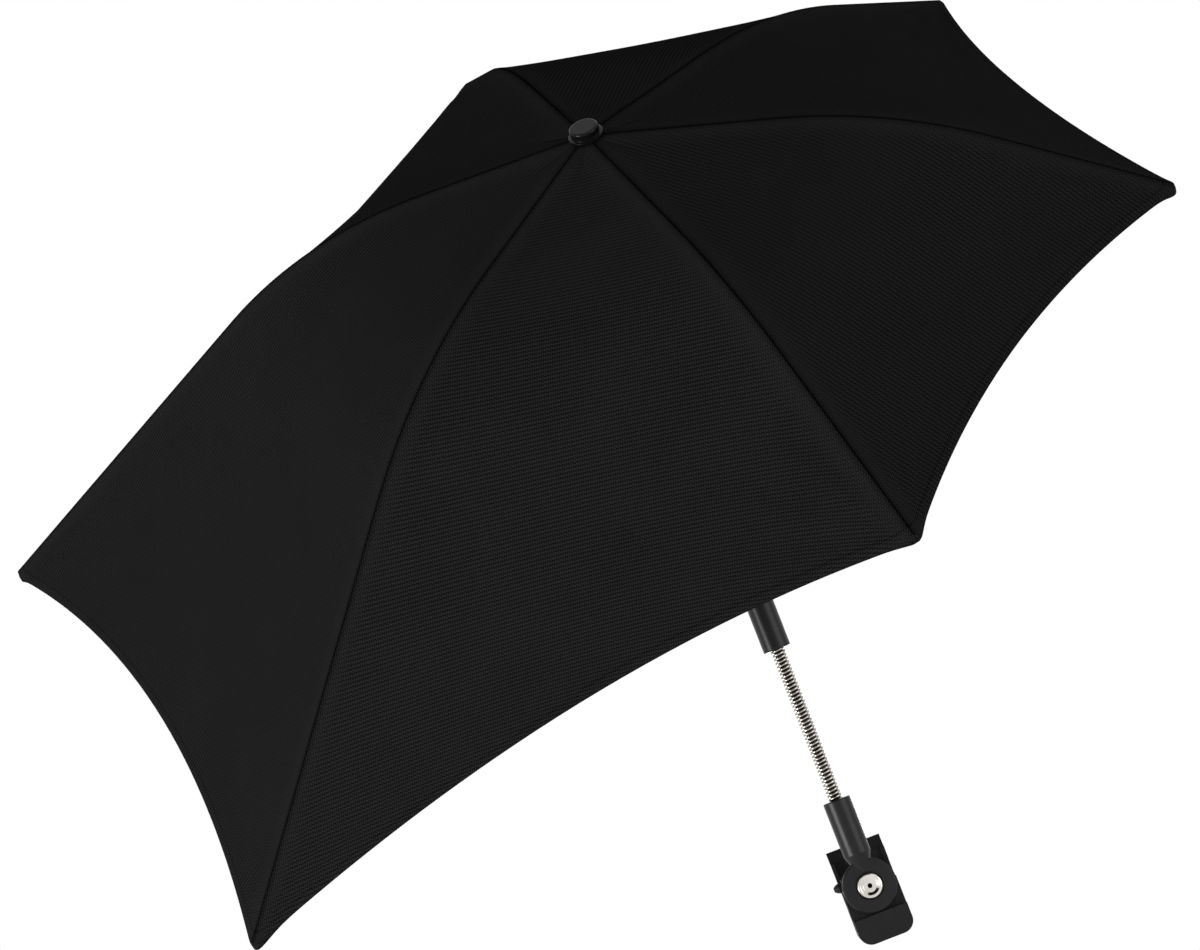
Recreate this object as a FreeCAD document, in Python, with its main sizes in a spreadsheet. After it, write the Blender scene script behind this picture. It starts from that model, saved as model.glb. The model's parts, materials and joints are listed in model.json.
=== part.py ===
import FreeCAD, Part
import math
import os
import Sketcher
from types import SimpleNamespace
from FreeCAD import Placement, Rotation, Vector

# A clip-on pram parasol: a sprung clamp, a coiled gooseneck between two riveted knuckles, a short shaft and a
# six-panel canopy on folding ribs, two of them long. +Z runs up the stick and the origin is the axis of the
# tube that the clamp grips. Lengths are in millimetres and angles in degrees.

doc = FreeCAD.newDocument("pram_parasol")
sheet = doc.addObject("Spreadsheet::Sheet", "Sizes")

SIZES = [
    ("bore_r", 10.0, "radius of the gripped tube"),
    ("pad_wall", 2.0, "rubber pad thickness"),
    ("pad_len", 30.0, "rubber pad length along the tube"),
    ("pad_arc", 150.0, "angle that each pad wraps"),
    ("pad_clear", 0.1, "room between a pad and its jaw"),
    ("clamp_w", 37.0, "width of the jaws"),
    ("bore_drop", 22.0, "rivet axis down to the tube axis"),
    ("clamp_down", 36.4, "rivet axis down to the foot of the jaws"),
    ("foot_round", 8.5, "corner radius of the jaws' feet"),
    ("jaw_gap", 2.0, "gap between the closed jaws"),
    ("web", 3.4, "jaw wall above the tube recess"),
    ("plate_front", 13.0, "tube axis forward to the knuckle's seat"),
    ("plate_wall", 6.0, "thickness of the seat plate"),
    ("lever_up", 28.4, "rivet axis up to the top of the lever"),
    ("lever_in", 7.5, "tube axis back to the lever's inner face"),
    ("lever_wall", 4.0, "lever thickness"),
    ("lever_back", 16.0, "tube axis back to the rear jaw's face"),
    ("lever_flare", 2.6, "how far the thumb pad leans back"),
    ("thumb_h", 9.0, "height of the thumb pad"),
    ("grip_r", 0.8, "radius of the grip ribs"),
    ("grip_step", 2.2, "spacing of the grip ribs"),
    ("cheek_w", 2.5, "lever cheek thickness"),
    ("cheek_h", 9.5, "lever cheek height"),
    ("cheek_in", 3.2, "lever cheek front edge, from the tube axis"),
    ("cheek_gap", 1.6, "lever cheek above the pin's ears"),
    ("pin_up", 4.6, "rivet axis up to the jaw pin"),
    ("pin_back", 1.5, "tube axis back to the jaw pin"),
    ("pin_r", 2.2, "jaw pin radius"),
    ("pin_clear", 0.15, "room round the jaw pin"),
    ("knob_r", 3.3, "radius of the pin's round head"),
    ("knob_out", 3.9, "how far the pin's head stands out of the jaws"),
    ("ear_r", 5.0, "radius of the pin's ears"),
    ("pin_in", 2.0, "jaws' sides in to the outer ears"),
    ("ear_gap", 0.5, "side gap between the ears"),
    ("ear_mid", 6.0, "half width kept free for the spring"),
    ("spring_r", 4.6, "mean radius of the jaw spring"),
    ("spring_wire", 1.3, "jaw spring wire diameter"),
    ("spring_step", 2.1, "pitch of the jaw spring"),
    ("spring_turns", 3.0, "whole turns of the jaw spring"),
    ("spring_leg_angle", 200.0, "turn from the spring's first leg to its last"),
    ("spring_leg", 9.7, "length of the jaw spring's legs"),
    ("stem_r", 9.2, "radius of the knuckle stems"),
    ("stem_len", 59.3, "rivet axis to the end of a stem"),
    ("taper_top", 22.0, "rivet axis to the stem's full radius"),
    ("taper_low", 8.0, "rivet axis to the stem's lower end"),
    ("taper_r", 4.0, "radius of the stem's lower end"),
    ("stem_edge", 0.5, "chamfer on the ends of the stems"),
    ("disc_r", 17.9, "radius of the knuckle discs"),
    ("disc_front", 5.0, "stem axis forward to the disc's face"),
    ("disc_back", 3.0, "stem axis back to the disc's seat"),
    ("disc_edge", 0.8, "chamfer of the disc's rim"),
    ("lap_gap", 0.25, "running gap at the disc's seat"),
    ("turn_gap", 0.5, "room round a turning disc"),
    ("shank_r", 4.0, "rivet shank radius"),
    ("shank_gap", 0.2, "room round the rivet shank"),
    ("head_r", 8.5, "rivet head radius"),
    ("head_h", 2.2, "rivet head height above its recess"),
    ("head_gap", 0.8, "dark ring round the rivet head"),
    ("head_sunk", 1.2, "depth of the rivet's recess"),
    ("dish_r", 4.4, "radius of the rivet's dished centre"),
    ("eye_r", 1.6, "hole through the rivet"),
    ("tail_r", 5.5, "rivet tail radius"),
    ("tail_h", 1.3, "rivet tail height"),
    ("coil_d", 9.6, "gooseneck outside diameter"),
    ("wire_d", 1.9, "gooseneck wire diameter"),
    ("coil_step", 2.5, "gooseneck pitch"),
    ("coil_turns", 42.0, "turns in view between the stems"),
    ("coil_in", 2.0, "turns inside each stem"),
    ("coil_clear", 0.3, "room between gooseneck and stem"),
    ("socket_deep", 24.0, "depth of the gooseneck's sockets"),
    ("core_clear", 0.2, "room between the core and the coil"),
    ("tilt", 37.9, "lean of the canopy from the stick"),
    ("canopy_turn", -168.3, "heading of the long ribs' middle line"),
    ("shaft_drop", 342.0, "canopy top down to the tilt rivet"),
    ("shaft_r", 5.0, "shaft tube radius"),
    ("shaft_wall", 1.0, "shaft tube wall"),
    ("shaft_fit", 0.05, "fit of the shaft in its sockets and of the rivets in their plates"),
    ("tilt_stem", 46.0, "tilt rivet up to the end of its socket"),
    ("tilt_seat", 21.0, "tilt rivet up to the shaft's end"),
    ("cap_flange_r", 11.0, "radius of the top cap's brim"),
    ("cap_flange_h", 1.9, "thickness of the top cap's brim"),
    ("cap_r", 9.3, "radius of the top cap's button"),
    ("cap_h", 7.4, "height of the top cap"),
    ("cap_edge", 1.4, "rounding of the top cap's button"),
    ("cap_plug", 10.0, "length of the cap's plug in the shaft"),
    ("cap_lift", 0.8, "brim above the canopy's top"),
    ("cloth", 1.0, "thickness of the cloth panels, hem included"),
    ("cloth_gap", 0.6, "cloth above the ribs"),
    ("cloth_ridge", 0.78, "rise of the cloth over a rib's corners, as a share of half its width"),
    ("seam_gap", 0.5, "gap between panels along a rib"),
    ("cloth_in", 6.6, "radius of the hole in the cloth under the cap"),
    ("cloth_sag", 0.012, "hollow of a panel, as a share of its width"),
    ("hem_in", 0.075, "hem curve, as a share of the panel's length"),
    ("cloth_over", 5.0, "cloth past the rib's end"),
    ("notch_r", 9.0, "radius of the rib pivots"),
    ("notch_out", 10.4, "outside radius of the notch"),
    ("notch_h", 7.0, "height of the notch"),
    ("notch_under", 0.6, "notch below the cloth"),
    ("notch_foot", 2.0, "height of the notch's tapered foot"),
    ("hub_wall", 1.2, "notch's wall round the shaft inside its slots"),
    ("slot_w", 2.8, "width of the rib and stretcher slots"),
    ("ring_wire", 1.2, "wire of the pivot rings"),
    ("ring_clear", 0.15, "room round the pivot rings"),
    ("rib_w", 3.4, "rib channel width"),
    ("rib_h", 3.0, "rib channel height"),
    ("rib_wall", 0.7, "rib channel wall"),
    ("rib_slope", 9.0, "slope of the ribs at the notch"),
    ("rib_straight", 105.0, "straight inner run of a rib"),
    ("rib_bow", 330.0, "radius of a rib's bow"),
    ("long_len", 531.0, "length of the two front ribs"),
    ("short_len", 360.0, "length of the two side ribs"),
    ("rear_len", 352.0, "length of the two rear ribs"),
    ("long_bend_angle", 27.9, "bow of the front ribs"),
    ("short_bend_angle", 20.7, "bow of the side ribs"),
    ("rear_bend_angle", 23.3, "bow of the rear ribs"),
    ("front_angle", 30.0, "heading of the front ribs from the canopy's middle line"),
    ("side_angle", 92.6, "heading of the side ribs"),
    ("rear_angle", 151.9, "heading of the rear ribs"),
    ("tongue_w", 2.0, "thickness of the pivot tongues"),
    ("tongue_len", 13.0, "length of a rib's tongue"),
    ("eye_clear", 0.25, "room round the ring in an eye"),
    ("joint_at", 138.0, "notch to the stretcher rivet along the rib"),
    ("joint_r", 0.8, "stretcher rivet radius"),
    ("joint_clear", 0.3, "room round the stretcher rivet"),
    ("joint_head", 1.3, "stretcher rivet head radius"),
    ("joint_cap", 0.8, "height of a stretcher rivet's head"),
    ("bar_h", 3.5, "stretcher height"),
    ("fork_wall", 0.9, "wall of the stretcher's fork"),
    ("fork_gap", 0.4, "gap between fork and rib"),
    ("fork_in", 14.0, "depth of the fork"),
    ("fork_web", 6.0, "solid root of the fork"),
    ("runner_base", 2.9, "runner's floor below its slots"),
    ("runner_over", 1.0, "runner above its stretchers"),
    ("runner_clear", 1.4, "room between runner and shaft"),
    ("slot_under", 0.85, "slot below a stretcher's end"),
    ("shoe_r", 6.2, "round end of a rib's shoe"),
    ("shoe_len", 13.0, "rib length inside its shoe"),
    ("shoe_wall", 1.0, "floor of the shoe"),
    ("shoe_h", 1.9, "height of the shoe"),
    ("shoe_fit", 0.1, "room between rib and shoe"),
    ("shoe_back", 3.5, "shoe's nose behind the cloth's tip"),
]
for row, (alias, value, note) in enumerate(SIZES, 1):
    sheet.set(f"A{row}", str(value))
    sheet.setAlias(f"A{row}", alias)
    sheet.set(f"B{row}", note)
doc.recompute()


class Size:
    """A number together with the sheet formula that it comes from."""

    def __init__(self, value, text):
        self.v, self.t = float(value), text

    @staticmethod
    def of(x):
        return x if isinstance(x, Size) else Size(x, f"({x})")

    def __add__(self, o):
        o = Size.of(o)
        return Size(self.v + o.v, f"({self.t} + {o.t})")

    def __sub__(self, o):
        o = Size.of(o)
        return Size(self.v - o.v, f"({self.t} - {o.t})")

    def __mul__(self, o):
        o = Size.of(o)
        return Size(self.v * o.v, f"({self.t} * {o.t})")

    def __truediv__(self, o):
        o = Size.of(o)
        return Size(self.v / o.v, f"({self.t} / {o.t})")

    def __neg__(self):
        return Size(-self.v, f"(0 - {self.t})")

    def __radd__(self, o):
        return Size.of(o) + self

    def __rsub__(self, o):
        return Size.of(o) - self

    def __rmul__(self, o):
        return Size.of(o) * self


def sine(a):
    return Size(math.sin(math.radians(a.v)), f"sin({a.t})")


def cosine(a):
    return Size(math.cos(math.radians(a.v)), f"cos({a.t})")


def radian(a):
    return Size(math.radians(a.v), f"({a.t} * pi / 180)")


d = SimpleNamespace(**{a: Size(v, f"Sizes.{a}") for a, v, n in SIZES})
TURN = {"x": Rotation(Vector(0, 1, 0), 90), "y": Rotation(Vector(1, 0, 0), -90), "z": Rotation()}
parts = {}


def bind(obj, prop, size):
    obj.setExpression(prop, Size.of(size).t)


def put(obj, base, rotation=Rotation()):
    """Places a primitive, with its position tied to the sheet."""
    obj.Placement = Placement(Vector(*(Size.of(b).v for b in base)), rotation)
    for axis, b in zip("xyz", base):
        if isinstance(b, Size):
            obj.setExpression(f"Placement.Base.{axis}", b.t)
    return obj


def cylinder(name, radius, height, base=(0, 0, 0), axis="z"):
    o = doc.addObject("Part::Cylinder", name)
    bind(o, "Radius", radius)
    bind(o, "Height", height)
    return put(o, base, TURN[axis])


def box(name, lx, ly, lz, base=(0, 0, 0)):
    o = doc.addObject("Part::Box", name)
    for prop, size in (("Length", lx), ("Width", ly), ("Height", lz)):
        bind(o, prop, size)
    return put(o, base)


def torus(name, radius, wire_r, base=(0, 0, 0)):
    o = doc.addObject("Part::Torus", name)
    bind(o, "Radius1", radius)
    bind(o, "Radius2", wire_r)
    return put(o, base)


def fuse(name, *objs):
    o = doc.addObject("Part::MultiFuse", name)
    o.Shapes = list(objs)
    o.Refine = True
    return o


def cut(name, base, *tools):
    tool = tools[0] if len(tools) == 1 else fuse(name + "_tools", *tools)
    o = doc.addObject("Part::Cut", name)
    o.Base, o.Tool = base, tool
    o.Refine = True
    return o


def plane_of(body, role):
    return next(f for f in body.Origin.OriginFeatures if f.Role == role)


def sketch(body, name, role, points, closed=True):
    """A chain of straight lines whose corners are tied to the sheet."""
    s = body.newObject("Sketcher::SketchObject", name)
    s.AttachmentSupport = [(plane_of(body, role), "")]
    s.MapMode = "FlatFace"
    at = [Vector(Size.of(x).v, Size.of(y).v, 0) for x, y in points]
    n = len(at)
    for i in range(n if closed else n - 1):
        s.addGeometry(Part.LineSegment(at[i], at[(i + 1) % n]), False)
    lines = n if closed else n - 1
    for i in range(lines):
        if closed or i + 1 < lines:
            s.addConstraint(Sketcher.Constraint("Coincident", i, 2, (i + 1) % n, 1))
    for i, (x, y) in enumerate(points):
        line, end = (i, 1) if i < lines else (i - 1, 2)
        for kind, size in (("DistanceX", x), ("DistanceY", y)):
            k = s.addConstraint(Sketcher.Constraint(kind, -1, 1, line, end, Size.of(size).v))
            if isinstance(size, Size):
                s.setExpression(f"Constraints[{k}]", size.t)
    return s


def turned(name, points):
    """A body turned about Z from its half section, given as radius and height."""
    body = doc.addObject("PartDesign::Body", name)
    s = sketch(body, name + "_section", "XZ_Plane", points)
    turn = body.newObject("PartDesign::Revolution", name + "_turn")
    turn.Profile = s
    turn.ReferenceAxis = (s, ["V_Axis"])
    turn.Angle = 360
    return body


def padded(name, role, points, width):
    """A body padded evenly to both sides of an origin plane."""
    body = doc.addObject("PartDesign::Body", name)
    s = sketch(body, name + "_outline", role, points)
    pad = body.newObject("PartDesign::Pad", name + "_pad")
    pad.Profile = s
    bind(pad, "Length", width)
    pad.SideType = "Symmetric"
    return body


def rounded(body, radius, pick):
    doc.recompute()
    tip = body.Tip
    names = [f"Edge{i}" for i, e in enumerate(tip.Shape.Edges, 1) if pick(e)]
    f = body.newObject("PartDesign::Fillet", body.Name + "_round")
    f.Base = (tip, names)
    bind(f, "Radius", radius)
    return f


def keep(name, obj, placement=None):
    """Names a finished piece and sets it in place."""
    obj.Label = name
    if placement is not None:
        obj.Placement = placement
    parts[name] = obj
    return obj


def move(x=0.0, y=0.0, z=0.0):
    return Placement(Vector(x, y, z), Rotation())


def spin(axis, angle):
    return Placement(Vector(), Rotation(Vector(*axis), angle))


# The clamp. The front jaw carries the knuckle's seat, the lever is the rear jaw, and both grip the tube
# between rubber pads. They turn on one pin and a torsion spring holds them shut.
rivet_z = d.bore_drop
stem_y = -(d.plate_front + d.lap_gap + d.disc_back)
foot = d.bore_drop - d.clamp_down
recess_r = d.bore_r + d.pad_wall + d.pad_clear
web_top = recess_r + d.web
half_gap = d.jaw_gap / 2
plate_back = d.plate_front - d.plate_wall
block_front = d.disc_front - stem_y
seam = rivet_z - d.disc_r - d.turn_gap
pin_z = rivet_z + d.pin_up
half_w = d.clamp_w / 2
ear_w = (half_w - d.ear_mid - d.ear_gap - d.pin_in) / 2
ear_out = d.ear_mid + ear_w + d.ear_gap


def low_corner(e):
    a, b = e.Vertexes[0].Point, e.Vertexes[-1].Point
    along_y = abs(a.x - b.x) < 1e-6 and abs(a.z - b.z) < 1e-6
    return along_y and abs(a.z - foot.v) < 1e-6 and abs(abs(a.x) - half_w.v) < 1e-6


front = padded("front_jaw", "YZ_Plane", [
    (-block_front, foot), (-half_gap, foot), (-half_gap, web_top), (-plate_back, web_top),
    (-plate_back, rivet_z), (-d.plate_front, rivet_z), (-d.plate_front, seam), (-block_front, seam)], d.clamp_w)
rounded(front, d.foot_round, low_corner)
seat = cylinder("front_seat", d.disc_r, d.plate_wall, (0, -d.plate_front, rivet_z), "y")
front_ears = []
for side, x0 in (("left", -(ear_out + ear_w)), ("right", ear_out)):
    front_ears.append(cylinder(f"front_ear_{side}", d.ear_r, ear_w, (x0, d.pin_back, pin_z), "x"))
    front_ears.append(box(f"front_arm_{side}", ear_w, d.pin_back + plate_back + half_gap, d.ear_r * 2,
                          (x0, -plate_back - half_gap, pin_z - d.ear_r)))
front_recess = cylinder("front_recess", recess_r, d.clamp_w + 2, (-half_w - 1, 0, 0), "x")
front_pin = cylinder("front_pin_hole", d.pin_r + d.pin_clear, d.clamp_w + 2, (-half_w - 1, d.pin_back, pin_z), "x")
front_shank = cylinder("front_shank_hole", d.shank_r + d.shaft_fit, d.plate_front * 2, (0, -d.plate_front * 2, rivet_z), "y")
keep("clamp_front", cut("clamp_front", fuse("front_solid", front, seat, *front_ears),
                        front_recess, front_pin, front_shank))

lever_top = rivet_z + d.lever_up
lever_out = d.lever_in + d.lever_wall
lever = padded("rear_jaw", "YZ_Plane", [
    (half_gap, foot), (d.lever_back, foot), (d.lever_back, recess_r), (lever_out, web_top + d.lever_wall),
    (lever_out, lever_top - d.thumb_h), (lever_out + d.lever_flare, lever_top),
    (d.lever_in + d.lever_flare, lever_top), (d.lever_in, lever_top - d.thumb_h), (d.lever_in, web_top),
    (half_gap, web_top)], d.clamp_w)
rounded(lever, d.foot_round, low_corner)
lever_adds = []
for side, x0 in (("left", -(d.ear_mid + ear_w)), ("right", d.ear_mid)):
    lever_adds.append(cylinder(f"lever_ear_{side}", d.ear_r, ear_w, (x0, d.pin_back, pin_z), "x"))
    lever_adds.append(box(f"lever_arm_{side}", ear_w, d.lever_in + half_gap - d.pin_back, d.ear_r * 2,
                          (x0, d.pin_back, pin_z - d.ear_r)))
cheek_z = pin_z + d.ear_r + d.cheek_gap
for side, x0 in (("left", -half_w), ("right", half_w - d.cheek_w)):
    lever_adds.append(box(f"lever_cheek_{side}", d.cheek_w, d.lever_in + half_gap - d.cheek_in, d.cheek_h,
                          (x0, d.cheek_in, cheek_z)))
for i in range(3):
    up = cheek_z + d.grip_r + d.grip_step * i + d.grip_r
    lever_adds.append(cylinder(f"lever_grip_{i}", d.grip_r, d.clamp_w - d.foot_round,
                               (-(half_w - d.foot_round / 2), lever_out, up), "x"))
lever_recess = cylinder("lever_recess", recess_r, d.clamp_w + 2, (-half_w - 1, 0, 0), "x")
lever_pin = cylinder("lever_pin_hole", d.pin_r + d.pin_clear, d.clamp_w + 2, (-half_w - 1, d.pin_back, pin_z), "x")
keep("clamp_lever", cut("clamp_lever", fuse("lever_solid", lever, *lever_adds), lever_recess, lever_pin))

pin_run = ear_out + ear_w
pin_body = turned("jaw_pin_body", [
    (0, -pin_run), (d.pin_r, -pin_run), (d.pin_r, pin_run + d.ear_gap), (d.knob_r, pin_run + d.ear_gap),
    (d.knob_r, half_w + d.knob_out - d.knob_r), (d.knob_r * 0.75, half_w + d.knob_out - d.knob_r * 0.4),
    (d.knob_r * 0.4, half_w + d.knob_out), (0, half_w + d.knob_out)])
keep("jaw_pin", pin_body, Placement(Vector(0, d.pin_back.v, pin_z.v), Rotation(Vector(0, 1, 0), -90)))

for name, start in (("pad_front", 180.0), ("pad_rear", 0.0)):
    ring = cylinder(name + "_ring", d.bore_r + d.pad_wall, d.pad_len)
    bind(ring, "Angle", d.pad_arc)
    hollow = cylinder(name + "_bore", d.bore_r, d.pad_len)
    pad = cut(name, ring, hollow)
    keep(name, pad, move(-d.pad_len.v / 2) * spin((0, 1, 0), 90) * spin((0, 0, 1), start + 90 - d.pad_arc.v / 2))


def arc_from(p, t, q):
    """The arc that leaves p along t and ends at q."""
    c = q - p
    along = Vector(c).normalize()
    side = t - along * t.dot(along)
    if side.Length < 1e-9:
        return Part.LineSegment(p, q).toShape()
    turn = math.acos(max(-1.0, min(1.0, t.dot(along))))
    mid = (p + q) * 0.5 + side.normalize() * (c.Length / 2 * math.tan(turn / 2))
    return Part.Arc(p, mid, q).toShape()


def biarc(p, t, q, u):
    """Two tangent arcs that leave p along t and reach q along u."""
    v = q - p
    s = t + u
    k = 2 * (1 - t.dot(u))
    reach = v.dot(s)
    length = (-reach + math.sqrt(reach * reach + k * v.dot(v))) / k
    m = (p + q + (t - u) * length) * 0.5
    first = arc_from(p, t, m)
    back = arc_from(q, u * -1, m)
    last = Part.Wire([back]).Edges[0]
    return [first, last]


def winding(radius, step, turns, first, lead, trail, wire):
    """One unbroken wire wound about Z from angle first, with straight ends, and its least gap to itself."""
    slope = step / (2 * math.pi)
    norm = math.hypot(radius, slope)

    def at(a):
        return Vector(radius * math.cos(a), radius * math.sin(a), slope * (a - first))

    def along(a):
        return Vector(-radius * math.sin(a), radius * math.cos(a), slope) * (1 / norm)

    count = max(1, round(turns * 4))
    angles = [first + 2 * math.pi * turns * i / count for i in range(count + 1)]
    edges = [Part.LineSegment(at(angles[0]) - along(angles[0]) * lead, at(angles[0])).toShape()]
    for a, b in zip(angles, angles[1:]):
        edges += biarc(at(a), along(a), at(b), along(b))
    edges.append(Part.LineSegment(at(angles[-1]), at(angles[-1]) + along(angles[-1]) * trail).toShape())
    path = Part.Wire(Part.sortEdges(edges)[0])
    start = at(angles[0]) - along(angles[0]) * lead
    section = Part.Wire([Part.Circle(start, along(angles[0]), wire / 2).toShape()])
    shell = Part.BRepOffsetAPI.MakePipeShell(path)
    shell.add(section)
    shell.build()
    shell.makeSolid()
    solid = shell.shape()
    if solid.Volume < 0:
        solid.reverse()
    points = [at(first + 2 * math.pi * turns * i / (36 * turns)) for i in range(int(36 * turns) + 1)]
    gap = min(points[i].distanceToPoint(points[j]) for i in range(len(points))
              for j in range(i + 24, min(len(points), i + 49))) - wire
    want = math.pi * wire * wire / 4 * (path.Length)
    return solid, gap, solid.Volume / want


def feature(name, shape, placement):
    o = doc.addObject("Part::Feature", name)
    o.Shape = shape
    return keep(name, o, placement)


spring_turns = d.spring_turns.v + d.spring_leg_angle.v / 360
spring, gap, fill = winding(d.spring_r.v, d.spring_step.v, spring_turns, 0.0, d.spring_leg.v, d.spring_leg.v,
                            d.spring_wire.v)
print(f"jaw spring: least gap {gap:.2f} mm, volume {fill:.4f} of its wire")
spring_mid = d.spring_step.v * spring_turns / 2
feature("jaw_spring", spring, move(-spring_mid, d.pin_back.v, pin_z.v)
        * Placement(Vector(), Rotation(Vector(0, 1, 0), Vector(0, 0, -1), Vector(1, 0, 0), "ZXY")))


# The two knuckles are the same moulding: a stem that holds the gooseneck's end, tapering into a half-lapped
# disc. The lower one turns on the clamp, the upper one on the socket at the foot of the shaft.
def knuckle(name, placement):
    hollow_r = d.coil_d / 2 + d.coil_clear
    stem = turned(name + "_stem", [
        (0, d.taper_low), (d.taper_r, d.taper_low), (d.stem_r, d.taper_top), (d.stem_r, d.stem_len - d.stem_edge),
        (d.stem_r - d.stem_edge, d.stem_len), (hollow_r, d.stem_len), (hollow_r, d.stem_len - d.socket_deep),
        (0, d.stem_len - d.socket_deep)])
    hole_r = d.shank_r + d.shank_gap
    disc = turned(name + "_disc", [
        (hole_r, -d.disc_back), (d.disc_r, -d.disc_back), (d.disc_r, d.disc_front - d.disc_edge),
        (d.disc_r - d.disc_edge, d.disc_front), (hole_r, d.disc_front)])
    disc.Placement = Placement(Vector(), Rotation(Vector(1, 0, 0), 90))
    lap = cylinder(name + "_lap", half_w + d.turn_gap, d.stem_r * 2, (0, d.disc_back, 0), "y")
    recess = cylinder(name + "_recess", d.head_r + d.head_gap, d.stem_r * 2,
                      (0, d.head_sunk - d.disc_front - d.stem_r * 2, 0), "y")
    keep(name, cut(name, fuse(name + "_solid", stem, disc), lap, recess), placement)


def rivet(name, placement):
    """A hollow rivet with a rolled rim and a dished centre, its head towards its own +Z."""
    floor = d.disc_front - d.head_sunk
    tail = d.disc_back + d.lap_gap + d.plate_wall
    rim = floor + d.head_h
    body = turned(name + "_body", [
        (d.eye_r, -tail - d.tail_h), (d.tail_r, -tail - d.tail_h), (d.tail_r, -tail), (d.shank_r, -tail),
        (d.shank_r, floor), (d.head_r, floor), (d.head_r, floor + d.head_h * 0.5), (d.head_r - 0.7, rim - 0.2),
        (d.head_r - 1.4, rim), (d.head_r - 2.3, rim - 0.2), (d.dish_r + 0.6, rim - d.head_h * 0.5),
        (d.dish_r, floor + d.head_h * 0.3), (d.eye_r, floor + d.head_h * 0.2)])
    keep(name, body, placement)


neck_len = d.coil_step * d.coil_turns
hinge_z = rivet_z + d.stem_len * 2 + neck_len
low = move(0, stem_y.v, rivet_z.v)
high = move(0, stem_y.v, hinge_z.v)
face_front = Placement(Vector(), Rotation(Vector(1, 0, 0), 90))
quarter = spin((0, 0, 1), -90)
knuckle("knuckle_lower", low)
rivet("rivet_lower", low * face_front)
knuckle("knuckle_upper", high * quarter * spin((0, 1, 0), 180))
rivet("rivet_upper", high * quarter * face_front)

# The gooseneck is one close-wound wire over a plain core.
turns = d.coil_turns.v + 2 * d.coil_in.v
coil, gap, fill = winding((d.coil_d.v - d.wire_d.v) / 2, d.coil_step.v, turns, 0.0, d.wire_d.v * 0.8, d.wire_d.v * 0.8,
                          d.wire_d.v)
print(f"gooseneck: {turns:.0f} turns, least gap {gap:.2f} mm, volume {fill:.4f} of its wire")
coil_z = rivet_z.v + d.stem_len.v - d.coil_in.v * d.coil_step.v
feature("gooseneck_coil", coil, move(0, stem_y.v, coil_z))
core = cylinder("gooseneck_core", d.coil_d / 2 - d.wire_d - d.core_clear,
                neck_len + d.socket_deep * 2 - d.core_clear * 2,
                (0, stem_y, rivet_z + d.stem_len - d.socket_deep + d.core_clear))
keep("gooseneck_core", core)

# The socket at the foot of the shaft: the other half of the tilt joint. It leans with the canopy.
lean = high * spin((1, 0, 0), d.tilt.v)
canopy = lean * move(0, 0, d.shaft_drop.v) * spin((0, 0, 1), d.canopy_turn.v)
socket_stem = cylinder("tilt_stem_solid", d.stem_r, d.tilt_stem)
tongue = cylinder("tilt_tongue", d.disc_r, d.plate_wall, (d.disc_back + d.lap_gap, 0, 0), "x")
tilt_lap = cylinder("tilt_lap", d.disc_r + d.turn_gap, d.stem_r * 4, (d.disc_back + d.lap_gap - d.stem_r * 4, 0, 0), "x")
tilt_bore = cylinder("tilt_bore", d.shaft_r + d.shaft_fit, d.tilt_stem, (0, 0, d.tilt_seat))
tilt_shank = cylinder("tilt_shank", d.shank_r + d.shaft_fit, d.stem_r * 4, (0, 0, 0), "x")
keep("tilt_socket", cut("tilt_socket", fuse("tilt_solid", socket_stem, tongue), tilt_lap, tilt_bore, tilt_shank), lean)

# Shaft, top cap and notch, in the canopy's own frame: its origin is where the cloth meets the cap.
shaft_len = d.shaft_drop - d.tilt_seat + d.cap_lift
tube = cylinder("shaft_outer", d.shaft_r, shaft_len, (0, 0, d.cap_lift - shaft_len))
tube_bore = cylinder("shaft_bore", d.shaft_r - d.shaft_wall, shaft_len * 2, (0, 0, d.cap_lift - shaft_len * 1.5))
keep("shaft", cut("shaft", tube, tube_bore), canopy)

plug_r = d.shaft_r - d.shaft_wall - d.shaft_fit
brim = d.cap_lift + d.cap_flange_h
cap = turned("cap_body", [
    (0, d.cap_lift - d.cap_plug), (plug_r, d.cap_lift - d.cap_plug), (plug_r, d.cap_lift), (d.cap_flange_r, d.cap_lift),
    (d.cap_flange_r, brim), (d.cap_r, brim + 0.3), (d.cap_r, d.cap_lift + d.cap_h), (0, d.cap_lift + d.cap_h)])
rounded(cap, d.cap_edge, lambda e: len(e.Vertexes) == 1 and abs(e.Vertexes[0].Point.z - (d.cap_lift + d.cap_h).v) < 1e-6)
keep("top_cap", cap, canopy)

# The ribs in turn: a long front rib, two short ones and their mirror images.
HEADINGS = [d.front_angle.v, d.side_angle.v, d.rear_angle.v, -d.rear_angle.v, -d.side_angle.v, -d.front_angle.v]
KINDS = ["front", "side", "rear", "rear", "side", "front"]
RUN = {"front": (d.long_len, d.long_bend_angle), "side": (d.short_len, d.short_bend_angle),
       "rear": (d.rear_len, d.rear_bend_angle)}
rib_drop = d.cloth + d.cloth_gap + d.rib_h / 2
notch_top = d.cloth + d.cloth_gap / 2 + d.notch_under


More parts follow.
